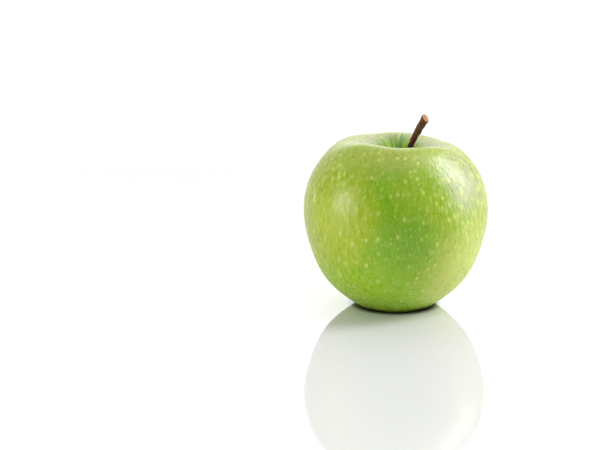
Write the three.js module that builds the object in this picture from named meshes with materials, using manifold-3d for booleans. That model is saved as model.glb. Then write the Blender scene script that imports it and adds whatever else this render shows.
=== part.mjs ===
// A whole green apple that stands upright on its base: fruit, stem, calyx and stamens.
// Millimetres, +Z up. The core axis is vertical, and the front of the apple faces -Y.
import * as THREE from 'three';
import { mergeVertices } from 'three/addons/utils/BufferGeometryUtils.js';
import Module from 'manifold-3d';

// ---------------------------------------------------------------- driving dimensions

// Half the fruit's outline as [radius, height], measured from the core axis and from the surface
// that the apple stands on. The skin is a smooth curve pulled towards these points in turn.
const OUTLINE = [
  [4.6, 7.6], // edge of the pit that the calyx grows in
  [8.2, 4.6], // basin wall
  [12.9, -2.4], // base ring, which the surface cuts off at height 0
  [20.4, 3],
  [31.7, 12.1], // taper
  [38.1, 27.9],
  [40.5, 43.2], // widest
  [36.2, 57.8],
  [27.6, 68.8], // shoulder
  [21.8, 71.1], // crown
  [12.2, 67], // into the stem cavity
  [6, 62.6],
  [2.6, 58], // cavity floor, where the stem's socket starts
];
const CROWN_RADIUS = 21; // where the crown is highest
const CROWN_WIDTH_IN = 10.5; // how far its unevenness reaches inwards
const CROWN_WIDTH_OUT = 15; // and outwards
const WIDEST_Z = 41.6;
const CROWN_Z = 69.9;

// The stem cavity's floor lies a little to the right of the axis, with the stem's socket in it.
const CAVITY_SHIFT = 2.4;
const SOCKET_DEPTH = 4.5;
const PIT_DEPTH = 3.6; // of the pit that the calyx cup grows in

// Five low ribs run from the base up the lower side; their feet are what the apple stands on.
const RIBS = 5;
const RIB_AZIMUTH = THREE.MathUtils.degToRad(-90);
const GROOVE_HEIGHT = 0.4; // how far the base ring rises between two feet
const RIB_SWELL = 0.006; // share of the radius
const PUCKERS = 10; // folds in the basin's wall
const PUCKER_HEIGHT = 0.25;

// The crown isn't level: each wave is [waves in a turn, height, azimuth of its top in degrees].
const CROWN_WAVES = [
  [1, 1.7, -115],
  [2, 0.77, -91],
  [3, 0.31, -22],
  [4, 0.34, -41],
  [5, 0.21, 11],
];
const OVALNESS = 0.01; // the fruit is this much narrower from left to right, as a share

const GAP = 0.3; // between pieces that grow in one another

// Stem: points on its middle line as [x, z], from its foot in the socket to its cut end.
const STEM_LINE = [
  [2.4, 53.8],
  [2.4, 58.3],
  [3.9, 63],
  [5.9, 68],
  [8.6, 74],
  [11, 78.3],
  [12.2, 80.4],
];
// Its radius as [share of the length, radius], flaring where it was joined to the twig.
const STEM_RADII = [
  [0, 1.15],
  [0.16, 1.15],
  [0.36, 1.08],
  [0.55, 1.15],
  [0.72, 1.32],
  [0.88, 1.6],
  [1, 1.75],
];
const CUT_FALL_RIGHT = 0.29; // fall of the cut face for each millimetre across it
const CUT_FALL_FRONT = 0.48;
const BUD_SCAR_AT = 0.76; // share of the stem's length
const BUD_SCAR_HEIGHT = 0.25;

// Calyx cup, sepals and stamens.
const CUP_HEIGHT = 3.6;
const CUP_WALL = 1.2;
const CUP_FLOOR = 1;
const SEPALS = 5;
const SEPAL_RISE = 5.3;
const SEPAL_ROOT_WIDTH = 4;
const SEPAL_TIP_WIDTH = 0.6;
const SEPAL_THICKNESS = 0.8;
const SEPAL_ROOT_DEPTH = 1; // how deep it grows in the cup's wall
const SEPAL_HOLLOW = 0.4; // how far its edges stand in from its middle
const SEPAL_LEAN = 0.7; // how far it bends in over the cup
const SEPAL_CURL = 1.9; // and out again at its tip
const STAMEN_RINGS = [[3, 0.6], [7, 1.65]]; // how many stamens, at what radius
const STAMEN_LENGTH = 4.2;
const STAMEN_RADIUS = 0.35;

// How finely the pieces are faceted: sides round them, and rings along them.
const FRUIT_SIDES = 72;
const SKIN_STEPS = 4; // between two points of the outline
const STEM_SIDES = 14;
const STEM_RINGS = 22;
const CUP_SIDES = 20;

// ---------------------------------------------------------------- helpers

const wasm = await Module();
wasm.setup();

// Sizes that follow from the outline.
const [PIT_RADIUS, BASIN_Z] = OUTLINE[0];
const BASE_RING_RADIUS = OUTLINE[2][0] + 0.5;
const CAVITY_FLOOR_Z = OUTLINE[OUTLINE.length - 1][1];

function point(radius, z) {
  return new THREE.Vector2(radius, z);
}

// Joins shared vertices and drops the triangles that collapse on the axis.
function welded(geometry) {
  geometry.deleteAttribute('normal');
  geometry.deleteAttribute('uv');
  const merged = mergeVertices(geometry);
  const corners = Array.from(merged.index.array);
  const kept = [];
  for (let i = 0; i < corners.length; i += 3) {
    const [a, b, c] = corners.slice(i, i + 3);
    if (a !== b && b !== c && c !== a) kept.push(a, b, c);
  }
  merged.setIndex(kept);
  return merged;
}

// A closed body turned about Z. The profile runs from the axis round the outside, low end first.
function turned(profile, sides) {
  const lathe = welded(new THREE.LatheGeometry(profile, sides));
  lathe.rotateX(Math.PI / 2);
  return lathe;
}

// Moves every vertex of a geometry to where the function puts it.
function reshaped(geometry, move) {
  const places = geometry.getAttribute('position');
  const vertex = new THREE.Vector3();
  for (let i = 0; i < places.count; i += 1) {
    vertex.fromBufferAttribute(places, i);
    move(vertex);
    places.setXYZ(i, vertex.x, vertex.y, vertex.z);
  }
  return geometry;
}

// Joins overlapping closed bodies into one.
function fused(geometries) {
  let whole = null;
  for (const geometry of geometries) {
    const solid = new wasm.Manifold(new wasm.Mesh({
      numProp: 3,
      vertProperties: Float32Array.from(geometry.getAttribute('position').array),
      triVerts: Uint32Array.from(geometry.index.array),
    }));
    whole = whole ? whole.add(solid) : solid;
  }
  const mesh = whole.getMesh();
  const result = new THREE.BufferGeometry();
  result.setAttribute('position', new THREE.BufferAttribute(mesh.vertProperties, 3));
  result.setIndex(new THREE.BufferAttribute(mesh.triVerts, 1));
  return result;
}

// A small repeatable source of numbers from 0 to 1, for the stamens' uneven growth.
function randomFrom(seed) {
  let state = seed;
  return () => {
    state = (state * 1103515245 + 12345) % 2147483648;
    return state / 2147483648;
  };
}

function named(name, geometry, colour, roughness) {
  geometry.computeVertexNormals();
  const material = new THREE.MeshStandardMaterial({ color: colour, roughness, metalness: 0 });
  const mesh = new THREE.Mesh(geometry, material);
  mesh.name = name;
  return mesh;
}

// 1 at the centre of a bell-shaped zone, falling towards 0 a width away from it.
function bell(value, centre, width) {
  return Math.exp(-(((value - centre) / width) ** 2));
}

// ---------------------------------------------------------------- fruit

// A smooth curve (a uniform cubic B-spline) from the first control point to the last one.
function smoothCurve(controls, steps) {
  const [first, second] = controls;
  const [beforeLast, last] = controls.slice(-2);
  const pulls = [
    first.clone().multiplyScalar(2).sub(second),
    ...controls,
    last.clone().multiplyScalar(2).sub(beforeLast),
  ];
  const places = [];
  for (let span = 0; span + 3 < pulls.length; span += 1) {
    for (let step = 0; step < steps; step += 1) {
      const t = step / steps;
      const weights = [
        (1 - t) ** 3,
        3 * t ** 3 - 6 * t ** 2 + 4,
        -3 * t ** 3 + 3 * t ** 2 + 3 * t + 1,
        t ** 3,
      ];
      const place = point(0, 0);
      weights.forEach((weight, i) => place.addScaledVector(pulls[span + i], weight / 6));
      places.push(place);
    }
  }
  places.push(last.clone());
  return places;
}

// From the middle of the calyx pit out round the skin, and down into the stem's socket.
function fruitProfile() {
  const pitTop = BASIN_Z + PIT_DEPTH;
  const socketRadius = STEM_RADII[0][1] + GAP;
  const skin = smoothCurve(OUTLINE.map(([radius, z]) => point(radius, z)), SKIN_STEPS);
  return [
    point(0, pitTop),
    point(PIT_RADIUS - 0.6, pitTop),
    point(PIT_RADIUS, pitTop - 0.7),
    ...skin,
    point(socketRadius, CAVITY_FLOOR_Z - 1.5),
    point(socketRadius, CAVITY_FLOOR_Z - SOCKET_DEPTH),
    point(0, CAVITY_FLOOR_Z - SOCKET_DEPTH),
  ];
}

// Height of the crown's unevenness at an azimuth.
function crownWave(azimuth) {
  let height = 0;
  for (const [waves, size, top] of CROWN_WAVES) {
    height += size * Math.cos(waves * (azimuth - THREE.MathUtils.degToRad(top)));
  }
  return height;
}

// Gives a vertex of the plain turned fruit its ribs, feet, puckers, crown and oval section.
function growFruit(vertex) {
  const radius = Math.hypot(vertex.x, vertex.y);
  const azimuth = Math.atan2(vertex.y, vertex.x);
  const rib = Math.cos(RIBS * (azimuth - RIB_AZIMUTH));
  const isLow = vertex.z < WIDEST_Z;
  const upper = THREE.MathUtils.clamp((vertex.z - WIDEST_Z) / (CROWN_Z - WIDEST_Z), 0, 1);

  const swell = 1 + RIB_SWELL * rib * (isLow ? bell(vertex.z, 8, 14) : 0);
  vertex.x *= swell * (1 - OVALNESS);
  vertex.y *= swell * (1 + OVALNESS);

  if (isLow && radius > PIT_RADIUS + 0.1) {
    vertex.z += 0.5 * GROOVE_HEIGHT * (1 - rib) * bell(radius, BASE_RING_RADIUS, 6);
    vertex.z += PUCKER_HEIGHT * Math.cos(PUCKERS * azimuth) * bell(radius, PIT_RADIUS + 2.5, 2.5);
    vertex.z = Math.max(vertex.z, 0);
  }
  const width = radius < CROWN_RADIUS ? CROWN_WIDTH_IN : CROWN_WIDTH_OUT;
  vertex.z += upper * crownWave(azimuth) * bell(radius, CROWN_RADIUS, width);
  if (upper > 0 && radius < CROWN_RADIUS) {
    vertex.x += CAVITY_SHIFT * THREE.MathUtils.smoothstep(CROWN_RADIUS - radius, 0, 14);
  }
}

function makeFruit() {
  const body = reshaped(turned(fruitProfile(), FRUIT_SIDES), growFruit);
  return named('fruit', body, 0x83b52e, 0.35);
}

// ---------------------------------------------------------------- stem

// A straight stem whose height runs from 0 to 1.
function stemProfile() {
  const sides = new THREE.SplineCurve(STEM_RADII.map(([share, radius]) => point(radius, share)));
  return [point(0, 0), ...sides.getPoints(STEM_RINGS), point(0, 1)];
}

// Bends the straight stem along its middle line, and slants its cut end.
function makeStem() {
  const line = new THREE.CatmullRomCurve3(STEM_LINE.map(([x, z]) => new THREE.Vector3(x, 0, z)));
  const across = new THREE.Vector3();
  const back = new THREE.Vector3(0, 1, 0);
  const stem = reshaped(turned(stemProfile(), STEM_SIDES), (vertex) => {
    const share = THREE.MathUtils.clamp(vertex.z, 0, 1);
    const scar = BUD_SCAR_HEIGHT * bell(share, BUD_SCAR_AT, 0.04) * (vertex.x > 0 ? 1 : 0);
    const right = vertex.x * (1 + scar);
    const behind = vertex.y;
    const cut = THREE.MathUtils.smoothstep(share, 0.88, 1);
    const rise = cut * (CUT_FALL_FRONT * behind - CUT_FALL_RIGHT * right);
    const tangent = line.getTangentAt(share);
    across.crossVectors(back, tangent);
    vertex.copy(line.getPointAt(share));
    vertex.addScaledVector(across, right);
    vertex.addScaledVector(back, behind);
    vertex.addScaledVector(tangent, rise);
  });
  return named('stem', stem, 0x5b3a24, 0.8);
}

// ---------------------------------------------------------------- calyx and stamens

// One sepal, growing up from the cup's rim: a tapered blade that leans in and curls out at its tip.
function makeSepal(rimRadius) {
  const blade = welded(new THREE.BoxGeometry(1, SEPAL_THICKNESS, 1, 4, 1, 7));
  return reshaped(blade, (vertex) => {
    const side = -vertex.x * 2;
    const along = vertex.z + 0.5;
    const taper = (1 - along) ** 0.7;
    const width = SEPAL_TIP_WIDTH + (SEPAL_ROOT_WIDTH - SEPAL_TIP_WIDTH) * taper;
    const bend = SEPAL_CURL * along ** 3 - SEPAL_LEAN * Math.sin(0.62 * Math.PI * along);
    const hollow = SEPAL_HOLLOW * side * side * (1 - along);
    const height = CUP_HEIGHT - SEPAL_ROOT_DEPTH + SEPAL_RISE * along;
    vertex.set(rimRadius + bend - hollow + vertex.y, side * width / 2, height);
  });
}

// The cup and its sepals, with the root at z 0 and the sepals upwards.
function makeCalyx() {
  const outer = PIT_RADIUS - GAP;
  const cup = turned([
    point(0, 0),
    point(outer - 0.6, 0),
    point(outer, 0.6),
    point(outer, CUP_HEIGHT),
    point(outer - CUP_WALL, CUP_HEIGHT),
    point(outer - CUP_WALL, CUP_FLOOR),
    point(0, CUP_FLOOR),
  ], CUP_SIDES);
  const pieces = [cup];
  for (let i = 0; i < SEPALS; i += 1) {
    const sepal = makeSepal(outer - CUP_WALL / 2);
    sepal.rotateZ((i / SEPALS) * 2 * Math.PI + 0.3);
    pieces.push(sepal);
  }
  return named('calyx', fused(pieces), 0x6b5a35, 0.9);
}

// The withered stamens on their button, which sits on the cup's floor.
function makeStamens() {
  const random = randomFrom(7);
  const radius = PIT_RADIUS - CUP_WALL - 2 * GAP;
  const button = turned([
    point(0, 0),
    point(radius, 0),
    point(radius, 0.8),
    point(radius - 0.6, 1.3),
    point(0, 1.5),
  ], CUP_SIDES);
  const pieces = [button];
  for (const [count, ringRadius] of STAMEN_RINGS) {
    for (let i = 0; i < count; i += 1) {
      const length = STAMEN_LENGTH * (0.75 + 0.25 * random());
      const stamen = welded(new THREE.CylinderGeometry(STAMEN_RADIUS, STAMEN_RADIUS, length, 6));
      stamen.rotateX(Math.PI / 2);
      stamen.translate(0, 0, length / 2 + 0.6);
      stamen.rotateY(0.06 * random());
      stamen.translate(ringRadius, 0, 0);
      stamen.rotateZ(((i + 0.4 * random()) / count) * 2 * Math.PI);
      pieces.push(stamen);
    }
  }
  return named('stamens', fused(pieces), 0x3a2a1c, 0.95);
}

// ---------------------------------------------------------------- assembly

// Calyx and stamens hang in the basin, sepals down.
function makeBlossomEnd() {
  const blossomEnd = new THREE.Group();
  const calyx = makeCalyx();
  const stamens = makeStamens();
  stamens.position.z = CUP_FLOOR + GAP;
  blossomEnd.add(calyx, stamens);
  blossomEnd.rotation.x = Math.PI;
  blossomEnd.position.z = BASIN_Z + PIT_DEPTH - GAP;
  return blossomEnd;
}

// The apple is moved so that the middle of its outline stands over the origin.
function makeApple() {
  const apple = new THREE.Group();
  apple.add(makeFruit(), makeStem(), makeBlossomEnd());
  const middle = new THREE.Box3().setFromObject(apple).getCenter(new THREE.Vector3());
  apple.position.set(-middle.x, -middle.y, 0);
  return apple;
}

export default makeApple();
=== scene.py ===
"""The looks of a whole green apple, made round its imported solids.

The frame is in metres, with +Z up. The front of the apple faces -Y and its stem leans towards +X.
The apple's sizes and places are named in millimetres, and its colours as 0 to 255 on a screen.
Angles are in radians where nothing else is said.
"""

import math

import bpy
import numpy as np
from mathutils import Euler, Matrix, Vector, noise


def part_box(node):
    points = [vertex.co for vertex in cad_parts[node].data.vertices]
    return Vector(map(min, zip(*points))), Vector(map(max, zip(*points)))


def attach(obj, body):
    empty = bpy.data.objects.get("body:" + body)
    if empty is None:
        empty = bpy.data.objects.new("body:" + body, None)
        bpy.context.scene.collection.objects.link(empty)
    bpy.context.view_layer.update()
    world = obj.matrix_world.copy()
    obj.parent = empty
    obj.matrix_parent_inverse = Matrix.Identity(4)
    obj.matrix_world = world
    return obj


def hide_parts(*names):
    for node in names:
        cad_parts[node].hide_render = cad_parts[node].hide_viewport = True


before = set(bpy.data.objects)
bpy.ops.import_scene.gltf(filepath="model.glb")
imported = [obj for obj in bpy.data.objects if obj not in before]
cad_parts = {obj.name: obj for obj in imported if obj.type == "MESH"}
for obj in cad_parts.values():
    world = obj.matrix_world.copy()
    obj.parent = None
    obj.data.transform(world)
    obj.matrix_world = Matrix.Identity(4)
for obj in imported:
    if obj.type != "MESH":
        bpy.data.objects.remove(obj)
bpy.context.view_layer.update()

MM = 0.001
FULL_TURN = 2 * math.pi

# ------------------------------------------------------------------ the fruit's sizes

# Half the fruit's outline as (radius, height): a smooth curve pulled towards these points.
OUTLINE = (
    (4.6, 7.6),
    (8.2, 4.6),
    (12.9, -2.4),
    (20.4, 3),
    (31.7, 12.1),
    (38.1, 27.9),
    (40.5, 43.2),
    (36.2, 57.8),
    (27.6, 68.8),
    (21.8, 71.1),
    (12.2, 67),
    (6, 62.6),
    (2.6, 58),
)
OUTLINE_STEPS, FRUIT_SIDES = 19, 380  # steps from one point of the outline to the next
OVALNESS = 0.01
WIDEST_Z = 41.6

# The pit that holds the calyx, as (radius, depth under its roof).
PIT_RADIUS, PIT_HEIGHT = 4.6, 3.6
PIT = ((0.5, 0), (PIT_RADIUS - 0.6, 0), (PIT_RADIUS, 0.7), (PIT_RADIUS, 1.8))
PIT_EDGE = PIT_RADIUS + 0.1
# The socket that the stem grows from, as (radius, depth under the cavity's floor).
SOCKET = ((2.0, 0.7), (1.45, 1.4), (1.25, 2.2), (1.2, 4))

# Five low ribs near the base, with grooves between the feet, and puckers round the pit.
RIBS, RIB_AZIMUTH, RIB_SWELL = 5, math.radians(-90), 0.006
RIB_Z, RIB_REACH = 8, 14
GROOVE_HEIGHT, BASE_RING_RADIUS, BASE_RING_REACH = 0.4, 13.4, 6
PUCKERS, PUCKER_HEIGHT, PUCKER_REACH = 10, 0.25, 2.5

# The uneven crown: each wave's count round it, its height and the azimuth of a crest in degrees.
CROWN_RADIUS, CROWN_Z = 21, 69.9
CROWN_REACH_IN, CROWN_REACH_OUT = 10.5, 15
CROWN_WAVES = ((1, 1.7, -115), (2, 0.77, -91), (3, 0.31, -22), (4, 0.34, -41), (5, 0.21, 11))
CAVITY_SHIFT, CAVITY_SHIFT_RUN = 2.4, 14  # to the right, growing inwards from the crown
LIP_HEIGHT, LIP_RADIUS, LIP_REACH = 0.5, 18, 7  # the front of the crown stands a little higher
LIP_AZIMUTH, LIP_SPREAD = math.radians(-80), 0.7

# Fine relief: its height and how far it is across. Folds are laid out round a circle of radius 1.
DENT_HEIGHT, DENT_SIZE = 0.16, 17
RIPPLE_HEIGHT, RIPPLE_SIZE = 0.035, 5
CALM_RADIUS, ROUGH_RADIUS = 2, 8  # dents and ripples die away between these, inwards
FOLD_HEIGHT, FOLD_SIZE, FOLD_LENGTH = 0.12, 0.16, 90
FOLD_RADIUS, FOLD_REACH = 7, 5

# ------------------------------------------------------------------ the stem's sizes

# The middle of the stem as (x, z), from its root in the socket to the cut.
STEM_LINE = ((2.4, 54.2), (2.4, 58.3), (3.9, 63), (5.9, 68), (8.6, 74), (11, 78.3), (12.2, 80.4))
# Its radius at shares of its length.
STEM_RADII = ((0, 1.3), (0.16, 1.3), (0.36, 1.1), (0.55, 1.15), (0.72, 1.32), (0.88, 1.6), (1, 1.7))
STEM_RINGS, STEM_SIDES, CUT_RINGS = 180, 64, 14
EASED_RINGS = 8  # to each side of a ring, over which changes of radius are smoothed

# Relief of the bark: its height as a share of the radius, and its size on a stem of radius 1
# that is this long. Ridges come out long, and warts short.
RIDGE_HEIGHT, RIDGE_SIZE, RIDGE_STEM_LENGTH = 0.07, 0.55, 3.0
WART_HEIGHT, WART_SIZE, WART_STEM_LENGTH = 0.05, 0.9, 18.0
# Bud scars: the height, the share of the stem's length and its reach, the azimuth and its reach.
BUD_SCARS = ((0.3, 0.76, 0.022, 0.15, 0.6), (0.16, 0.62, 0.02, 2.9, 0.5))
CUT_LIP_HEIGHT, CUT_LIP_AT, CUT_LIP_REACH = 0.12, 0.975, 0.02

# The slant of the cut, as a fall for each millimetre across, and the relief of its face.
CUT_STARTS_AT, CUT_FALL_RIGHT, CUT_FALL_FRONT = 0.88, 0.29, 0.48
CUT_SINK, CUT_GRAIN_HEIGHT, CUT_GRAIN_SIZE, PITH_SINK = 0.12, 0.06, 0.25, 0.15

# ------------------------------------------------------------------ the blossom end's sizes

CALYX_TOP_Z = 10.9  # the blossom end hangs down from here
CUP_RADIUS, CUP_HEIGHT, CUP_WALL, CUP_FLOOR = 4.3, 3.6, 1.2, 1.0
CUP_BEVEL, RIM_BEVEL, CUP_CENTRE = 0.6, 0.3, 0.3
CUP_SHRINKING, CUP_WRINKLE_SIZE = 0.03, 1.1  # it has dried unevenly, by this share on average
CUP_RINGS, CUP_SIDES = 73, 96
SEPALS, SEPAL_TURN = 5, 0.3
SEPAL_RISE, SEPAL_ROOT_WIDTH, SEPAL_TIP_WIDTH, SEPAL_ROOT_DEPTH = 5.2, 4.0, 0.5, 1.0
SEPAL_ROOT_THICKNESS, SEPAL_TIP_THICKNESS = 0.36, 0.14
VEIN_RIPPLE, VEIN_HEIGHT = 9, 0.05  # the ripple's angle from a sepal's middle to its edge
SEPAL_CURL, SEPAL_LEAN, SEPAL_HOLLOW, SEPAL_SWAY = 1.9, 0.7, 0.4, 0.25
SEPAL_WAVE_HEIGHT, SEPAL_WAVE_SIZE = 0.12, 0.7
SEPAL_RINGS, SEPAL_SIDES = 48, 36

# The stamens stand in rings, given as how many there are and the radius, on a withered button.
STAMEN_CIRCLES = ((3, 0.7), (7, 1.65))
BUTTON = ((0.2, 0), (2.5, 0), (2.75, 0.2), (2.7, 0.8), (2.1, 1.25), (0.9, 1.5), (0.2, 1.4))
BUTTON_Z, BUTTON_SIDES = CUP_FLOOR + 0.3, 48
LUMP_HEIGHT, LUMP_SIZE = 0.05, 0.6
STAMEN_Z = BUTTON_Z + 0.6
STAMEN_LENGTH, STAMEN_LENGTH_SPREAD = 3.1, 0.9
STAMEN_RADIUS, STAMEN_THINNING, STAMEN_LEAN, STAMEN_SWAY = 0.2, 0.05, 0.18, 0.35
STAMEN_HEAD_AT, STAMEN_HEAD_SWELL = 0.9, 0.16
STAMEN_RINGS, STAMEN_SIDES = 26, 14

# ------------------------------------------------------------------ the looks' places and colours

# Painted light among these: the pale side green, the crown's and foot's greens and the whitish cavity
# mouth; the pale fleck is partly painted highlight.
DEEP_GREEN, MIDDLE_GREEN, PAINTED_LIT_SIDE_GREEN = (130, 189, 0), (152, 190, 4), (172, 182, 66)
CROWN_PAINTED_SHEEN, FOOT_PAINTED_BOUNCE, STREAK_GREEN = (182, 199, 88), (160, 210, 4), (172, 204, 14)
PALE_FLECK_AND_HIGHLIGHT, DARK_FLECK, LENTICEL = (206, 217, 108), (112, 162, 0), (220, 232, 120)
CAVITY_MOUTH_PAINTED_SHEEN, CAVITY_DARK, CAVITY_LIGHT = (194, 198, 156), (82, 132, 0), (146, 184, 0)
BARK_RED, BARK_RED_STREAK = (68, 18, 4), (162, 66, 26)
BARK_BROWN, BARK_BROWN_STREAK = (88, 52, 22), (148, 104, 54)
BARK_CRACK, BARK_ROOT = (30, 14, 4), (36, 16, 6)
CUT_DARK, CUT_LIGHT, CUT_BLOTCH, PITH = (142, 92, 46), (206, 158, 100), (190, 158, 70), (176, 112, 44)
SEPAL_DARK, SEPAL_LIGHT = (46, 36, 18), (120, 98, 52)
STAMEN_DARK, STAMEN_LIGHT = (28, 18, 10), (92, 62, 34)
DRY_GREEN = (110, 116, 52)

# Heights at which the crown's painted sheen, the foot's painted bounce light and the cavity start and
# are complete.
CROWN_SHEEN_Z, FOOT_BOUNCE_Z, CAVITY_Z = (57, 69), (36, 14), (50, 60)
# Painted light on the skin, as paler patches: the left cheek painted lit, a painted highlight on the
# right shoulder, the lower right painted lit and painted glints on the upper front, in that order. Each
# gives the middle, the reach and the colour, and is full in its core, which is this share of the reach.
PATCH_CORE, PATCH_STRENGTH = 0.3, 0.8
PAINTED_LIGHT_PATCHES = (
    ((-24.5, -30, 42), 25, (179, 198, 6)),
    ((27, -20, 59), 21, (173, 179, 146)),
    ((27, -21, 17), 31, (201, 214, 98)),
    ((9, -34, 56), 15, (158, 197, 40)),
)
# The cavity's whitish mouth, a painted sheen, and its green start and are complete at these distances;
# its green is an oval.
MOUTH_RADII, CAVITY_RADII = (26, 21), (29, 22)
CAVITY_MIDDLE, CAVITY_NARROWING = (1, 0.5, 0), 1.65
MOUTH_RAGGEDNESS, CAVITY_RAGGEDNESS, MOUTH_STRENGTH = 4, 14, 0.8
# Patterns of the skin. Streaks are counted round a circle of radius 1, the others to a metre.
STREAK_SCALE, FINE_STREAK_SCALE, STREAK_CLIMB = 13.0, 46.0, 7.0
MOTTLE_SCALE, PORE_SCALE, PATCH_SCALE = 600.0, 620.0, 45.0
HEIGHT_UNEVENNESS, PATCH_UNEVENNESS = 20, 30
# A pattern's heights are multiplied by these, which makes it taller than wide.
MOTTLE_SQUEEZE, DOT_SQUEEZE, FIBRE_SQUEEZE, DRY_FIBRE_SQUEEZE = 0.35, 0.7, 0.22, 0.3
# Layers of lenticels: how many to a metre, their reach within a cell and their strength.
DOT_LAYERS = ((380.0, 0.44, 1.0), (600.0, 0.38, 0.7), (900.0, 0.3, 0.5))
DOT_CORE = 0.08
# Heights at which the bark starts to turn and has turned: brown upwards and dark downwards.
BARK_BROWN_Z, BARK_ROOT_Z, BARK_UNEVENNESS = (75.5, 79.5), (70.5, 66), 8
FIBRE_SCALE, SEPAL_FIBRE_SCALE, STAMEN_FIBRE_SCALE = 1800.0, 1500.0, 2200.0
PITH_RADII = (0.9, 0.3)

# ------------------------------------------------------------------ the stage

# The floor has a painted contact shadow under the apple's base, and near the apple it is painted
# pinkish to cancel the green light that the apple bounces onto it. Further out it glows a little.
FLOOR_SIZE = 8  # in metres
PAINTED_SHADOW_COLOUR, NEAR_COLOUR = (0.02, 0.02, 0.015, 1), (0.9, 0.87, 0.95, 1)
FAR_COLOUR = (0.96, 0.95, 0.96, 1)
PAINTED_SHADOW_RADII, FAR_RADII = (16.5, 21.5), (30, 300)
GLOWS = ((30, 80, 0.03), (100, 800, 0.48))  # where each starts and is complete, and its strength

# The studio's light grows along an axis from the first of these to the second, to a strength.
WORLD_LOBES = (("Y", 0, -0.8, 0.22), ("Y", 0, 0.8, 0.65), ("Z", 0.4, 0.95, 0.46))

# A softbox stands a metre from this point. Its light fades out over this share of its width.
LIGHT_AIM = Vector((0, 0, 0.04))
SOFT_EDGE = 0.35

CAMERA_PLACE, CAMERA_DIP = (-0.04055, -1.018, 0.2843), 0.241  # in metres and radians
CAMERA_LENS, CAMERA_SENSOR = 148.2, 36

# ------------------------------------------------------------------ mesh helpers


def bell(value, centre, reach):
    return np.exp(-(((value - centre) / reach) ** 2))


def smoothstep(value, low, high):
    t = np.clip((value - low) / (high - low), 0, 1)
    return t * t * (3 - 2 * t)


def around(sides):
    """Angles of the sides of a ring, as one row."""
    return np.linspace(0, FULL_TURN, sides, endpoint=False)[None, :]


def grid_of(x, y, z):
    """Rings of points from coordinates that vary from ring to ring, round a ring or both."""
    return np.stack(np.broadcast_arrays(x, y, z), axis=2)


def smooth_curve(controls, steps):
    """Points on a uniform cubic B-spline from the first control point to the last one."""
    controls = np.array(controls, float)
    pulls = np.vstack([2 * controls[0] - controls[1], controls, 2 * controls[-1] - controls[-2]])
    t = np.linspace(0, 1, steps, endpoint=False)[:, None]
    spans = []
    for a, b, c, d in zip(pulls, pulls[1:], pulls[2:], pulls[3:]):
        span = (1 - t) ** 3 * a + (3 * t**3 - 6 * t**2 + 4) * b
        span += (-3 * t**3 + 3 * t**2 + 3 * t + 1) * c + t**3 * d
        spans.append(span / 6)
    return np.vstack([*spans, controls[-1:]])


def rough(points, size, seed, octaves=3):
    """Smooth noise from about -1 to 1 at each point, with bumps about this size across."""
    places = points.reshape(-1, 3) / size + seed
    values = [noise.fractal(Vector(p), 0.6, 2.0, octaves) for p in places]
    return np.array(values).reshape(points.shape[:-1])


def grid_normals(grid):
    """Outward unit normals of a closed tube given as rings, sides and xyz."""
    along = np.gradient(grid, axis=0)
    across = np.roll(grid, -1, axis=1) - np.roll(grid, 1, axis=1)
    normals = np.cross(across, along)
    length = np.linalg.norm(normals, axis=2, keepdims=True)
    return normals / np.maximum(length, 1e-9)


def tube(grid, first=0):
    """Vertices and faces of a closed body from rings of points, with a fan over each end."""
    rings, sides = grid.shape[:2]
    ends = np.array([grid[0].mean(axis=0), grid[-1].mean(axis=0)])
    vertices = np.vstack([grid.reshape(-1, 3), ends])
    low_end, high_end = rings * sides, rings * sides + 1
    top = (rings - 1) * sides
    faces = []
    for ring in range(rings - 1):
        for side in range(sides):
            a, b = ring * sides + side, ring * sides + (side + 1) % sides
            faces.append((a, b, b + sides, a + sides))
    for side in range(sides):
        after = (side + 1) % sides
        faces.append((after, side, low_end))
        faces.append((top + side, top + after, high_end))
    return vertices, [tuple(first + corner for corner in face) for face in faces]


def joined_tubes(grids):
    """Vertices and faces of several closed bodies in one mesh."""
    vertices, faces = [], []
    for grid in grids:
        points, corners = tube(grid, sum(len(part) for part in vertices))
        vertices.append(points)
        faces += corners
    return np.vstack(vertices), faces


def fruit_middle():
    """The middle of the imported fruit's box, seen from above, in millimetres."""
    low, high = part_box("fruit")
    return (np.array(low) + np.array(high))[:2] / 2 / MM


def add_piece(name, vertices, faces, materials, slot_of_face=None):
    """A smooth piece from points in millimetres, which rides with the apple."""
    mesh = bpy.data.meshes.new(name)
    mesh.from_pydata((np.asarray(vertices) * MM).tolist(), [], faces)
    mesh.polygons.foreach_set("use_smooth", [True] * len(mesh.polygons))
    for material in materials:
        mesh.materials.append(material)
    if slot_of_face is not None:
        mesh.polygons.foreach_set("material_index", slot_of_face)
    mesh.update()
    piece = bpy.data.objects.new(name, mesh)
    bpy.context.scene.collection.objects.link(piece)
    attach(piece, "root")
    return piece


# ------------------------------------------------------------------ material helpers


def linear(screen_colour):
    """A shader's colour from red, green and blue given as 0 to 255 on a screen."""
    parts = [value / 255 for value in screen_colour]
    parts = [p / 12.92 if p <= 0.04045 else ((p + 0.055) / 1.055) ** 2.4 for p in parts]
    return (*parts, 1.0)


def metres(sizes):
    """Sizes given in millimetres."""
    return tuple(size * MM for size in sizes)


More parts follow.
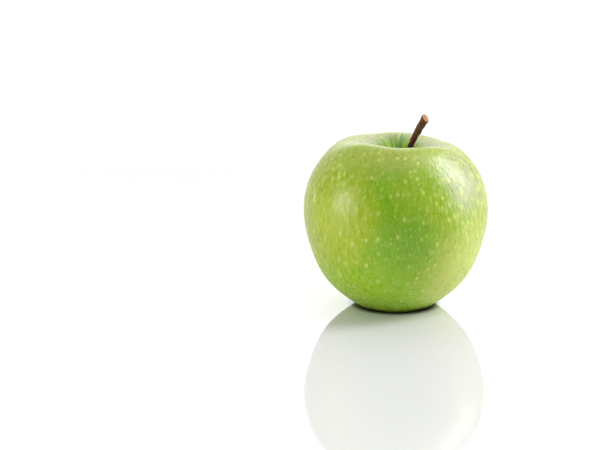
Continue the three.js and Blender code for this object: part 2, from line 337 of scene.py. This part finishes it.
class Nodes:
    """The nodes of a new material, world or light, with short ways to add and join them."""

    def __init__(self, owner, shader="Principled BSDF"):
        owner.use_nodes = True
        self.owner = owner
        self.tree = owner.node_tree
        self.shader = self.tree.nodes[shader]

    def add(self, kind, settings=None, **inputs):
        node = self.tree.nodes.new("ShaderNode" + kind)
        for key, value in (settings or {}).items():
            setattr(node, key, value)
        for key, value in inputs.items():
            self.put(node.inputs[key.replace("_", " ")], value)
        return node

    def put(self, socket, value):
        if isinstance(value, bpy.types.NodeSocket):
            self.tree.links.new(value, socket)
        else:
            socket.default_value = value

    def set(self, **inputs):
        for key, value in inputs.items():
            self.put(self.shader.inputs[key.replace("_", " ")], value)

    def place(self):
        """Places in the piece's own frame, in metres."""
        return self.add("TexCoord").outputs["Object"]

    def height_of(self, place):
        return self.add("SeparateXYZ", Vector=place).outputs["Z"]

    def maths(self, operation, *values, clamp=False):
        node = self.add("Math", {"operation": operation, "use_clamp": clamp})
        for socket, value in zip(node.inputs, values):
            self.put(socket, value)
        return node.outputs[0]

    def vector(self, operation, *values, output="Vector"):
        node = self.add("VectorMath", {"operation": operation})
        for socket, value in zip(node.inputs, values):
            self.put(socket, value)
        return node.outputs[output]

    def fade(self, value, low, high, start=0.0, end=1.0):
        """From start to end, smoothly, as value goes from low to high."""
        node = self.add("MapRange", {"interpolation_type": "SMOOTHSTEP"})
        for socket, number in zip(node.inputs, (value, low, high, start, end)):
            self.put(socket, number)
        return node.outputs[0]

    def noise(self, place, scale, detail=2.0, roughness=0.5):
        node = self.add("TexNoise", Vector=place, Scale=scale, Detail=detail, Roughness=roughness)
        return node.outputs["Fac"]

    def mix(self, share, low, high):
        """From the colour low to the colour high, as share goes from 0 to 1."""
        node = self.add("Mix", {"data_type": "RGBA"})
        self.put(node.inputs["Factor"], share)
        self.put(node.inputs[6], low)
        self.put(node.inputs[7], high)
        return node.outputs[2]

    def bump(self, height, distance, strength):
        node = self.add("Bump", Height=height, Distance=distance, Strength=strength)
        return node.outputs["Normal"]


# ------------------------------------------------------------------ fruit


def fruit_profile():
    """Radius and height of each ring of the fruit, from the calyx pit to the stem's socket."""
    pit_roof = OUTLINE[0][1] + PIT_HEIGHT
    cavity_floor = OUTLINE[-1][1]
    pit = [(radius, pit_roof - depth) for radius, depth in PIT]
    socket = [(radius, cavity_floor - depth) for radius, depth in SOCKET]
    profile = np.array([*pit, *smooth_curve(OUTLINE, OUTLINE_STEPS), *socket])
    return profile[:, :1], profile[:, 1:]


def fruit_grid(plain_radius, plain_z, upper):
    """Rings of points on the skin's main form, before its fine relief."""
    azimuth = around(FRUIT_SIDES)
    rib = np.cos(RIBS * (azimuth - RIB_AZIMUTH))
    is_low = plain_z < WIDEST_Z
    swell = 1 + RIB_SWELL * rib * bell(plain_z, RIB_Z, RIB_REACH) * is_low
    x = plain_radius * np.cos(azimuth) * swell * (1 - OVALNESS)
    y = plain_radius * np.sin(azimuth) * swell * (1 + OVALNESS)

    grooves = 0.5 * GROOVE_HEIGHT * (1 - rib)
    grooves = grooves * bell(plain_radius, BASE_RING_RADIUS, BASE_RING_REACH)
    puckers = PUCKER_HEIGHT * np.cos(PUCKERS * azimuth)
    puckers = puckers * bell(plain_radius, PIT_RADIUS + PUCKER_REACH, PUCKER_REACH)
    z = plain_z + (grooves + puckers) * (is_low & (plain_radius > PIT_EDGE))

    waves = sum(
        height * np.cos(count * (azimuth - math.radians(crest)))
        for count, height, crest in CROWN_WAVES
    )
    reach = np.where(plain_radius < CROWN_RADIUS, CROWN_REACH_IN, CROWN_REACH_OUT)
    z = z + upper * waves * bell(plain_radius, CROWN_RADIUS, reach)
    inside_crown = (upper > 0) & (plain_radius < CROWN_RADIUS)
    shift = CAVITY_SHIFT * smoothstep(CROWN_RADIUS - plain_radius, 0, CAVITY_SHIFT_RUN)
    return grid_of(x + shift * inside_crown, y, z)


def add_relief(grid, plain_radius, upper):
    """Dents and ripples in the skin, folds in the cavity and the higher lip at its front."""
    dents = DENT_HEIGHT * rough(grid, DENT_SIZE, seed=3.1, octaves=2)
    dents = dents + RIPPLE_HEIGHT * rough(grid, RIPPLE_SIZE, seed=8.7)
    dents = dents * smoothstep(plain_radius, CALM_RADIUS, ROUGH_RADIUS)
    azimuth = np.arctan2(grid[..., 1], grid[..., 0])
    on_circle = grid_of(np.cos(azimuth), np.sin(azimuth), grid[..., 2] / FOLD_LENGTH)
    folds = FOLD_HEIGHT * rough(on_circle, FOLD_SIZE, seed=1.3, octaves=2)
    folds = folds * upper * bell(plain_radius, FOLD_RADIUS, FOLD_REACH)
    lip = LIP_HEIGHT * bell(azimuth, LIP_AZIMUTH, LIP_SPREAD)
    lip = lip * bell(plain_radius, LIP_RADIUS, LIP_REACH) * upper
    grid = grid + grid_normals(grid) * (dents + folds)[..., None]
    grid[..., 2] += lip
    return grid


def fit_box(grid):
    """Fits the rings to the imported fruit's box seen from above, and lets none pass the floor."""
    low, high = (np.array(corner)[:2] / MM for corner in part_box("fruit"))
    own_low, own_high = grid.min(axis=(0, 1))[:2], grid.max(axis=(0, 1))[:2]
    grid[..., :2] = low + (grid[..., :2] - own_low) * (high - low) / (own_high - own_low)
    grid[..., 2] = np.maximum(grid[..., 2], 0)
    return grid


def make_fruit(material):
    plain_radius, plain_z = fruit_profile()
    upper = np.clip((plain_z - WIDEST_Z) / (CROWN_Z - WIDEST_Z), 0, 1)
    grid = fruit_grid(plain_radius, plain_z, upper)
    vertices, faces = tube(fit_box(add_relief(grid, plain_radius, upper)))
    fruit = add_piece("fruit_skin", vertices, faces, [material])
    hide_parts("fruit")


class SkinNodes(Nodes):
    """The skin's nodes, with the places and patterns that several of its looks share."""

    def __init__(self, owner):
        super().__init__(owner)
        self.skin_place = self.place()
        self.z = self.height_of(self.skin_place)
        self.above_middle = self.fade(self.z, *metres(CAVITY_Z))
        self.flat = self.vector("MULTIPLY", self.skin_place, (1, 1, 0))
        self.radius = self.vector("LENGTH", self.flat, output="Value")
        compass = self.vector("NORMALIZE", self.flat)
        self.frontness = self.vector("DOT_PRODUCT", compass, (0, -1, 0), output="Value")

        # Broad and fine streaks run from the stem down to the base.
        climb = self.add("CombineXYZ", Z=self.maths("MULTIPLY", self.z, STREAK_CLIMB)).outputs[0]
        streak_place = self.vector("ADD", compass, climb)
        self.streaks = self.noise(streak_place, STREAK_SCALE, detail=4.0, roughness=0.6)
        self.fine_streaks = self.noise(streak_place, FINE_STREAK_SCALE, detail=3.0, roughness=0.6)

        # Mottle is fine and tall. Patches are broad, and make every border uneven.
        self.tall_place = self.vector("MULTIPLY", self.skin_place, (1, 1, MOTTLE_SQUEEZE))
        self.mottle = self.noise(self.tall_place, MOTTLE_SCALE, detail=4.0, roughness=0.65)
        self.patches = self.noise(self.skin_place, PATCH_SCALE, detail=3.0)
        self.unevenness = self.maths("MULTIPLY_ADD", self.patches, 0.4, -0.2)
        self.uneven_frontness = self.maths("ADD", self.frontness, self.unevenness)
        self.front_band = self.fade(self.uneven_frontness, 0.84, 0.99)


def ground_colour(n):
    """A deep green down the front, with painted light: paler at the sides where the side lamps fall, a
    painted sheen mostly on the front of the crown, and a brighter green at the foot as painted bounce
    light from the floor.
    """
    colour = n.mix(n.front_band, linear(MIDDLE_GREEN), linear(DEEP_GREEN))
    # Painted light: the sides are paler where the side lamps fall on them, and less so at the back.
    side = n.fade(n.uneven_frontness, 0.85, 0.35)
    not_back = n.fade(n.uneven_frontness, -0.7, 0.1, 0.35, 0.85)
    colour = n.mix(n.maths("MULTIPLY", side, not_back), colour, linear(PAINTED_LIT_SIDE_GREEN))
    uneven_z = n.maths("MULTIPLY_ADD", n.unevenness, HEIGHT_UNEVENNESS * MM, n.z)
    # Painted sheen: the crown turns paler, mostly at the front, as a painted reflection of the bright
    # light behind and above it.
    crown = n.fade(uneven_z, *metres(CROWN_SHEEN_Z))
    crown = n.maths("MULTIPLY", crown, n.fade(n.frontness, 0.4, 0.9, 0.3, 0.9))
    colour = n.mix(crown, colour, linear(CROWN_PAINTED_SHEEN))
    # Painted bounce light: a brighter green at the foot, where light from the floor falls on it.
    foot = n.fade(uneven_z, *metres(FOOT_BOUNCE_Z), 0.0, 0.7)
    return n.mix(foot, colour, linear(FOOT_PAINTED_BOUNCE))


# Painted light: each patch paints the skin paler where a lamp lights it or makes a highlight.
def add_painted_light_patches(n, colour):
    for centre, reach, patch_colour in PAINTED_LIGHT_PATCHES:
        distance = n.vector("DISTANCE", n.skin_place, metres(centre), output="Value")
        distance = n.maths("MULTIPLY_ADD", n.unevenness, PATCH_UNEVENNESS * MM, distance)
        share = n.fade(distance, reach * MM, PATCH_CORE * reach * MM, 0.0, PATCH_STRENGTH)
        colour = n.mix(share, colour, linear(patch_colour))
    return colour


def add_streaks_and_flecks(n, colour):
    """Yellower streaks and dark flecks, and pale flecks that are few on the front's deep green and
    stronger at the sides as painted highlight.
    """
    colour = n.mix(n.fade(n.streaks, 0.45, 0.8, 0.0, 0.45), colour, linear(STREAK_GREEN))
    colour = n.mix(n.fade(n.fine_streaks, 0.5, 0.85, 0.0, 0.3), colour, linear(STREAK_GREEN))
    # Partly painted highlight: the pale flecks are the skin's mottle, made stronger at the sides where
    # the side lamps fall.
    pale = n.maths("MULTIPLY", n.fade(n.mottle, 0.48, 0.7), n.fade(n.front_band, 0, 1, 0.7, 0.12))
    colour = n.mix(pale, colour, linear(PALE_FLECK_AND_HIGHLIGHT))
    return n.mix(n.fade(n.mottle, 0.48, 0.3, 0.0, 0.3), colour, linear(DARK_FLECK))


def cavity_share(n):
    """How far a place has the cavity's green, which ends in a ragged oval."""
    from_middle = n.vector("SUBTRACT", n.flat, metres(CAVITY_MIDDLE))
    narrowed = n.vector("MULTIPLY", from_middle, (CAVITY_NARROWING, 1, 1))
    distance = n.vector("LENGTH", narrowed, output="Value")
    ragged = n.maths("MULTIPLY_ADD", n.fine_streaks, CAVITY_RAGGEDNESS * MM, distance)
    return n.maths("MULTIPLY", n.fade(ragged, *metres(CAVITY_RADII)), n.above_middle)


def add_cavity(n, colour, in_cavity):
    """A whitish mouth, which is a painted sheen of reflected light, then a deeper green with dark
    streaks that run down to the stem.
    """
    # Painted sheen: the mouth round the cavity is whitish, as a painted reflection of the bright light
    # above.
    ragged = n.maths("MULTIPLY_ADD", n.fine_streaks, MOUTH_RAGGEDNESS * MM, n.radius)
    mouth = n.maths("MULTIPLY", n.fade(ragged, *metres(MOUTH_RADII)), n.above_middle)
    colour = n.mix(n.maths("MULTIPLY", mouth, MOUTH_STRENGTH), colour, linear(CAVITY_MOUTH_PAINTED_SHEEN))
    cavity = n.mix(n.fade(n.streaks, 0.4, 0.6), linear(CAVITY_DARK), linear(CAVITY_LIGHT))
    return n.mix(in_cavity, colour, cavity)


def lenticels(n, in_cavity):
    """Soft pale dots of several sizes, a little taller than wide, and faint in the cavity."""
    dot_place = n.vector("MULTIPLY", n.skin_place, (1, 1, DOT_SQUEEZE))
    spots = 0.0
    for scale, reach, strength in DOT_LAYERS:
        dots = n.add("TexVoronoi", Vector=dot_place, Scale=scale)
        dot = n.fade(dots.outputs["Distance"], reach, DOT_CORE, 0.0, strength)
        chance = n.add("SeparateXYZ", Vector=dots.outputs["Color"]).outputs["X"]
        dot = n.maths("MULTIPLY", dot, n.fade(chance, 0.1, 0.9, 0.25, 1.2), clamp=True)
        spots = n.maths("MAXIMUM", spots, dot)
    spots = n.maths("MULTIPLY", spots, n.fade(n.patches, 0.35, 0.65, 0.65, 1.0))
    return n.maths("MULTIPLY", spots, n.fade(in_cavity, 0, 1, 1.0, 0.2))


def skin_material():
    n = SkinNodes(bpy.data.materials.new("green_apple_skin"))
    in_cavity = cavity_share(n)
    spots = lenticels(n, in_cavity)
    colour = add_painted_light_patches(n, ground_colour(n))
    colour = add_cavity(n, add_streaks_and_flecks(n, colour), in_cavity)

    # The wax is slightly uneven, which breaks up the highlights.
    pores = n.noise(n.tall_place, PORE_SCALE, detail=3.0, roughness=0.6)
    height = n.maths("MULTIPLY_ADD", spots, 0.35, n.maths("MULTIPLY", pores, 0.7))
    height = n.maths("MULTIPLY_ADD", n.fine_streaks, 0.45, height)
    dullness = n.fade(n.mottle, 0.3, 0.7, 0.22, 0.48)
    n.set(
        Base_Color=n.mix(spots, colour, linear(LENTICEL)),
        Roughness=n.maths("MULTIPLY", dullness, n.fade(in_cavity, 0, 1, 1.0, 0.35)),
        IOR=1.5,
        Sheen_Weight=0.05,
        Sheen_Roughness=0.3,
        Subsurface_Weight=0.1,
        Subsurface_Radius=(0.6, 1.0, 0.2),
        Subsurface_Scale=2 * MM,
        Normal=n.bump(height, 0.22 * MM, 0.8),
    )
    return n.owner


# ------------------------------------------------------------------ stem


def along_line(points, count):
    """Points and unit tangents at equal steps along a smooth line through points."""
    points = np.array(points, float)
    gaps = np.linalg.norm(np.diff(points, axis=0), axis=1)
    knots = np.concatenate([[0], np.cumsum(gaps)]) / gaps.sum()
    shares = np.linspace(0, 1, count)
    slopes = np.gradient(points, knots, axis=0)
    k = np.clip(np.searchsorted(knots, shares, side="right") - 1, 0, len(knots) - 2)
    width = (knots[k + 1] - knots[k])[:, None]
    t = (shares - knots[k])[:, None] / width
    places = (2 * t**3 - 3 * t**2 + 1) * points[k] + (t**3 - 2 * t**2 + t) * width * slopes[k]
    places += (3 * t**2 - 2 * t**3) * points[k + 1] + (t**3 - t**2) * width * slopes[k + 1]
    tangents = np.gradient(places, axis=0)
    tangents /= np.linalg.norm(tangents, axis=1, keepdims=True)
    return shares, places, tangents


def stem_reach(share, azimuth):
    """How far the bark is from the stem's middle line, with its ridges, warts and bud scars."""
    kernel = 2 * EASED_RINGS + 1
    radii = np.interp(share[:, 0], *zip(*STEM_RADII))
    radii = np.convolve(np.pad(radii, EASED_RINGS, mode="edge"), np.ones(kernel) / kernel, mode="valid")
    ridge_place = grid_of(np.cos(azimuth), np.sin(azimuth), RIDGE_STEM_LENGTH * share)
    ridges = RIDGE_HEIGHT * rough(ridge_place, RIDGE_SIZE, seed=2.2)
    wart_place = grid_of(np.cos(azimuth), np.sin(azimuth), WART_STEM_LENGTH * share)
    warts = WART_HEIGHT * rough(wart_place, WART_SIZE, seed=5.5)
    scars = sum(
        height * bell(share, at, length) * bell(azimuth, turn, width)
        for height, at, length, turn, width in BUD_SCARS
    )
    lip = CUT_LIP_HEIGHT * bell(share, CUT_LIP_AT, CUT_LIP_REACH)
    return radii[:, None] * (1 + ridges + warts) + scars + lip


def stem_grid():
    """Rings up the bark from the root to the cut, and then inwards over the cut face."""
    shares, places, tangents = along_line([(x, 0, z) for x, z in STEM_LINE], STEM_RINGS)
    share, azimuth = shares[:, None], around(STEM_SIDES)
    back = np.array([0.0, 1.0, 0.0])
    rightwards = np.cross(back, tangents)

    def bent(reach, ring, sunk):
        """Rings of this reach round the middle line, tilted towards the cut's slant."""
        right, behind = reach * np.cos(azimuth), reach * np.sin(azimuth)
        cut = smoothstep(share[ring], CUT_STARTS_AT, 1)
        rise = cut * (CUT_FALL_FRONT * behind - CUT_FALL_RIGHT * right) - sunk
        grid = places[ring][:, None] + rightwards[ring][:, None] * right[..., None]
        return grid + back * behind[..., None] + tangents[ring][:, None] * rise[..., None]

    reach = stem_reach(share, azimuth)
    inwards = np.linspace(1, 0.04, CUT_RINGS)[1:, None]
    disc = grid_of(inwards * np.cos(azimuth), inwards * np.sin(azimuth), 0)
    grain = rough(disc, CUT_GRAIN_SIZE, seed=7.7)
    sunk = CUT_SINK * smoothstep(inwards, 1.0, 0.85) + CUT_GRAIN_HEIGHT * grain
    sunk = sunk + PITH_SINK * bell(inwards, 0, 0.2)
    bark = bent(reach, np.arange(STEM_RINGS), 0)
    face = bent(reach[-1:] * inwards, np.full(CUT_RINGS - 1, STEM_RINGS - 1), sunk)
    return np.concatenate([bark, face])


def make_stem(bark, wood):
    vertices, faces = tube(stem_grid())
    vertices[:, :2] += fruit_middle()

    # The cut's rings and every second face of the closing fans, which is the cut's, are wood.
    cut_start = (STEM_RINGS - 1) * STEM_SIDES
    fans_start = cut_start + (CUT_RINGS - 1) * STEM_SIDES
    slots = np.zeros(len(faces), int)
    slots[cut_start:fans_start] = 1
    slots[fans_start + 1 :: 2] = 1
    stem = add_piece("stem_bark", vertices, faces, [bark, wood], slots.tolist())
    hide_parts("stem")


def bark_material():
    """Brown with tan streaks at the cut end, dark maroon with red-brown streaks further down."""
    n = Nodes(bpy.data.materials.new("stem_bark"))
    place = n.place()
    tall_place = n.vector("MULTIPLY", place, (1, 1, FIBRE_SQUEEZE))
    fibres = n.noise(tall_place, FIBRE_SCALE, detail=4.0, roughness=0.65)
    blotches = n.noise(place, 320.0, detail=3.0)
    z = n.height_of(place)
    uneven_z = n.maths("MULTIPLY_ADD", blotches, BARK_UNEVENNESS * MM, z)
    streak = n.fade(fibres, 0.48, 0.68)
    red = n.mix(streak, linear(BARK_RED), linear(BARK_RED_STREAK))
    brown = n.mix(streak, linear(BARK_BROWN), linear(BARK_BROWN_STREAK))
    colour = n.mix(n.fade(uneven_z, *metres(BARK_BROWN_Z)), red, brown)
    colour = n.mix(n.fade(fibres, 0.44, 0.3, 0.0, 0.7), colour, linear(BARK_CRACK))
    colour = n.mix(n.fade(z, *metres(BARK_ROOT_Z), 0.0, 0.7), colour, linear(BARK_ROOT))
    n.set(
        Base_Color=colour,
        Roughness=0.6,
        Specular_IOR_Level=0.25,
        Normal=n.bump(fibres, 0.3 * MM, 0.8),
    )
    return n.owner


def cut_material():
    """Pale dry wood with yellowish blotches, darker at the pith."""
    n = Nodes(bpy.data.materials.new("stem_cut_wood"))
    place = n.place()
    grain = n.noise(place, 1500.0, detail=4.0, roughness=0.7)
    blotches = n.noise(place, 700.0)
    x, z = STEM_LINE[-1]
    from_pith = n.vector("DISTANCE", place, metres((x, 0, z)), output="Value")
    colour = n.mix(n.fade(grain, 0.35, 0.7), linear(CUT_DARK), linear(CUT_LIGHT))
    colour = n.mix(n.fade(blotches, 0.5, 0.65, 0.0, 0.6), colour, linear(CUT_BLOTCH))
    colour = n.mix(n.fade(from_pith, *metres(PITH_RADII), 0.0, 0.85), colour, linear(PITH))
    n.set(Base_Color=colour, Roughness=0.75, Normal=n.bump(grain, 0.2 * MM, 0.7))
    return n.owner


# ------------------------------------------------------------------ calyx and stamens


def blossom_places(vertices):
    """Moves points from an upright blossom end on the origin to under the fruit, sepals down."""
    return vertices * (1, -1, -1) + (*fruit_middle(), CALYX_TOP_Z)


def cup_grid():
    """The cup's rings, up its outside, over its rim and down inside to its floor."""
    inner, top = CUP_RADIUS - CUP_WALL, CUP_HEIGHT - RIM_BEVEL
    corners = [(CUP_CENTRE, 0), (CUP_RADIUS - CUP_BEVEL, 0), (CUP_RADIUS, CUP_BEVEL)]
    corners += [(CUP_RADIUS, top), (CUP_RADIUS - RIM_BEVEL, CUP_HEIGHT)]
    corners += [(inner + RIM_BEVEL, CUP_HEIGHT), (inner, top), (inner, CUP_FLOOR)]
    corners += [(CUP_CENTRE, CUP_FLOOR)]
    steps = np.linspace(0, len(corners) - 1, CUP_RINGS)
    radius, height = (np.interp(steps, range(len(corners)), part)[:, None] for part in zip(*corners))
    turn = around(CUP_SIDES)
    grid = grid_of(radius * np.cos(turn), radius * np.sin(turn), height)
    wrinkles = rough(grid * (1, 1, 0.3), CUP_WRINKLE_SIZE, seed=4.4)
    shrinking = CUP_SHRINKING * (1 + wrinkles) * smoothstep(radius, 1, 3)
    grid[..., :2] *= (1 - shrinking)[..., None]
    return grid


def turned(out, sideways, height, angle):
    """Rings given outwards and sideways from the middle, turned to stand at this angle."""
    x = out * math.cos(angle) - sideways * math.sin(angle)
    y = out * math.sin(angle) + sideways * math.cos(angle)
    return grid_of(x, y, height)


def sepal_grid(index):
    """Rings along one dried sepal, each a thin lens across it."""
    along = np.linspace(0, 1, SEPAL_RINGS)[:, None]
    side, face = np.cos(around(SEPAL_SIDES)), np.sin(around(SEPAL_SIDES))
    seed = 10.0 + 3.7 * index
    wave = rough(grid_of(side, 2.5 * along, 0), SEPAL_WAVE_SIZE, seed)
    width = SEPAL_TIP_WIDTH + (SEPAL_ROOT_WIDTH - SEPAL_TIP_WIDTH) * (1 - along) ** 0.7
    width = width * (1 - 0.12 * bell(along, 1, 0.15)) * (0.93 + 0.06 * wave)
    thick = SEPAL_ROOT_THICKNESS + (SEPAL_TIP_THICKNESS - SEPAL_ROOT_THICKNESS) * along
    thick = thick + VEIN_HEIGHT * np.cos(VEIN_RIPPLE * side) * (1 - along)
    bend = 0.94 * (SEPAL_CURL * along**3 - SEPAL_LEAN * np.sin(0.62 * math.pi * along))
    hollow = SEPAL_HOLLOW * side * side * (1 - along)
    rim = CUP_RADIUS - CUP_WALL / 2
    out = rim + bend - hollow + thick * face + SEPAL_WAVE_HEIGHT * wave * along
    sideways = side * width / 2 + SEPAL_SWAY * math.sin(seed) * along**2
    height = CUP_HEIGHT - SEPAL_ROOT_DEPTH + SEPAL_RISE * along
    return turned(out, sideways, height, FULL_TURN * index / SEPALS + SEPAL_TURN)


def make_calyx(material):
    vertices, faces = joined_tubes([cup_grid(), *(sepal_grid(index) for index in range(SEPALS))])
    calyx = add_piece("calyx_sepals", blossom_places(vertices), faces, [material])
    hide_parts("calyx")


def stamen_grid(count, circle, index):
    """One withered stamen: a thin bent thread with a shrunken head."""
    along = np.linspace(0, 1, STAMEN_RINGS)[:, None]
    turn = around(STAMEN_SIDES)
    seed = 40.0 + 5.3 * index + 17 * circle
    length = STAMEN_LENGTH + STAMEN_LENGTH_SPREAD * (0.5 + 0.5 * math.sin(3.1 * seed))
    radius = STAMEN_RADIUS - STAMEN_THINNING * along
    radius = radius + STAMEN_HEAD_SWELL * bell(along, STAMEN_HEAD_AT, 0.1)
    radius = radius * np.sqrt(np.clip(1 - ((along - 0.5) * 2) ** 16, 0.02, 1))
    shrink = 1 + 0.25 * np.cos(3 * turn + seed) * bell(along, STAMEN_HEAD_AT, 0.12)
    lean = STAMEN_LEAN * np.sin(2.2 * along + seed)
    sway = STAMEN_SWAY * np.sin(1.7 * along * math.sin(seed))
    out = circle + lean + radius * shrink * np.cos(turn)
    sideways = sway + radius * shrink * np.sin(turn)
    angle = FULL_TURN * (index + 0.3 * math.sin(seed)) / count
    return turned(out, sideways, STAMEN_Z + length * along, angle)


def button_grid():
    """The withered, lumpy button that the stamens stand on."""
    radius, height = (np.array(part)[:, None] for part in zip(*BUTTON))
    height = height + BUTTON_Z
    turn = around(BUTTON_SIDES)
    grid = grid_of(radius * np.cos(turn), radius * np.sin(turn), height)
    lumps = LUMP_HEIGHT * rough(grid, LUMP_SIZE, seed=6.1, octaves=2)
    grid[..., 2] += lumps * smoothstep(height, BUTTON_Z + 0.3, BUTTON_Z + 0.9)
    return grid


def make_stamens(material):
    bodies = [button_grid()]
    for count, circle in STAMEN_CIRCLES:
        bodies += [stamen_grid(count, circle, index) for index in range(count)]
    vertices, faces = joined_tubes(bodies)
    stamens = add_piece("stamen_threads", blossom_places(vertices), faces, [material])
    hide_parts("stamens")


def dry_material(name, dark, light, fibre_scale):
    """Dull withered fibres with a few patches that are still greenish."""
    n = Nodes(bpy.data.materials.new(name))
    place = n.place()
    tall_place = n.vector("MULTIPLY", place, (1, 1, DRY_FIBRE_SQUEEZE))
    fibres = n.noise(tall_place, fibre_scale, detail=4.0, roughness=0.65)
    blotches = n.noise(place, 350.0)
    colour = n.mix(n.fade(fibres, 0.35, 0.7), linear(dark), linear(light))
    colour = n.mix(n.fade(blotches, 0.5, 0.75, 0.0, 0.5), colour, linear(DRY_GREEN))
    n.set(Base_Color=colour, Roughness=0.8, Normal=n.bump(fibres, 0.2 * MM, 0.8))
    return n.owner


# ------------------------------------------------------------------ stage


def make_floor():
    """A white gloss floor with a painted contact shadow in the gap under the apple's rounded base."""
    bpy.ops.mesh.primitive_plane_add(size=FLOOR_SIZE, location=(0, 0, 0))
    floor = bpy.context.object
    floor.name = "floor"
    n = Nodes(bpy.data.materials.new("white_gloss_floor"))
    distance = n.vector("LENGTH", n.place(), output="Value")
    # Painted shadow: the floor turns dark in the gap under the apple's base, and is pinkish nearby
    # against the apple's green bounce light.
    near_with_painted_shadow = n.mix(n.fade(distance, *metres(PAINTED_SHADOW_RADII)), PAINTED_SHADOW_COLOUR, NEAR_COLOUR)
    glow = 0.0
    for start, end, strength in GLOWS:
        glow = n.maths("ADD", glow, n.fade(distance, start * MM, end * MM, 0.0, strength))
    n.set(
        Base_Color=n.mix(n.fade(distance, *metres(FAR_RADII)), near_with_painted_shadow, FAR_COLOUR),
        Roughness=0.03,
        IOR=1.5,
        Emission_Color=(1, 1, 1, 1),
        Emission_Strength=glow,
    )
    floor.data.materials.append(n.owner)


def make_world():
    """A studio that is bright behind the apple and above it, and dimmer in front of it."""
    world = bpy.data.worlds.new("studio")
    bpy.context.scene.world = world
    n = Nodes(world, "Background")
    way = n.add("SeparateXYZ", Vector=n.add("TexCoord").outputs["Generated"])
    light = 0.0
    for axis, low, high, strength in WORLD_LOBES:
        light = n.maths("ADD", light, n.fade(way.outputs[axis], low, high, 0.0, strength))
    n.set(Color=(1, 1, 1, 1), Strength=light)


def soften_edges(light):
    """Fades a softbox to nothing at its edges, so its reflections have no hard sides."""
    n = Nodes(light, "Emission")
    corner = n.add("SeparateXYZ", Vector=n.add("NewGeometry").outputs["Parametric"])
    strength = 1.0
    for axis in "XY":
        for low, high in ((0, SOFT_EDGE), (1, 1 - SOFT_EDGE)):
            strength = n.maths("MULTIPLY", strength, n.fade(corner.outputs[axis], low, high))
    n.set(Strength=strength)


def add_softbox(name, azimuth, elevation, width, height, brightness, only_gleam=False):
    """A soft light in metres and degrees, with azimuths from the front to the right.

    One that is only a gleam shows in the gloss of things and doesn't light them otherwise.
    """
    turn, tilt = math.radians(azimuth), math.radians(elevation)
    way = Vector((math.sin(turn) * math.cos(tilt), -math.cos(turn) * math.cos(tilt), math.sin(tilt)))
    light = bpy.data.lights.new(name, "AREA")
    light.shape = "RECTANGLE"
    light.size, light.size_y = width, height
    light.energy = brightness * math.pi * width * height / (1 - SOFT_EDGE) ** 2
    soften_edges(light)
    lamp = bpy.data.objects.new(name, light)
    lamp.location = LIGHT_AIM + way
    lamp.rotation_euler = way.to_track_quat("Z", "Y").to_euler()
    lamp.visible_camera = False
    lamp.visible_diffuse = not only_gleam
    bpy.context.scene.collection.objects.link(lamp)


def make_camera():
    data = bpy.data.cameras.new("camera")
    data.lens = CAMERA_LENS
    data.sensor_width = CAMERA_SENSOR
    data.clip_start = 0.01
    camera = bpy.data.objects.new("camera", data)
    camera.location = CAMERA_PLACE
    camera.rotation_euler = Euler((math.pi / 2 - CAMERA_DIP, 0, 0))
    bpy.context.scene.collection.objects.link(camera)
    bpy.context.scene.camera = camera


# ------------------------------------------------------------------ assembly

make_fruit(skin_material())
make_stem(bark_material(), cut_material())
make_calyx(dry_material("dry_sepal", SEPAL_DARK, SEPAL_LIGHT, SEPAL_FIBRE_SCALE))
make_stamens(dry_material("dry_stamen", STAMEN_DARK, STAMEN_LIGHT, STAMEN_FIBRE_SCALE))
make_floor()
make_world()
add_softbox("right_low", 90, 8, 0.4, 0.4, 3.8)
add_softbox("right", 104, 21, 0.5, 0.5, 4.3)
add_softbox("right_high", 92, 42, 0.45, 0.45, 5.3)
add_softbox("right_gleam", 103, 35, 0.38, 0.72, 4.4, only_gleam=True)
add_softbox("right_top", 85, 62, 0.4, 0.4, 2.0)
add_softbox("left", -75, 12, 0.55, 0.55, 4.3)
add_softbox("behind", 180, 18, 1.4, 0.4, 0.85)
add_softbox("behind_high", 180, 50, 0.7, 0.7, 0.3)
make_camera()
bpy.context.scene.view_settings.view_transform = "Standard"
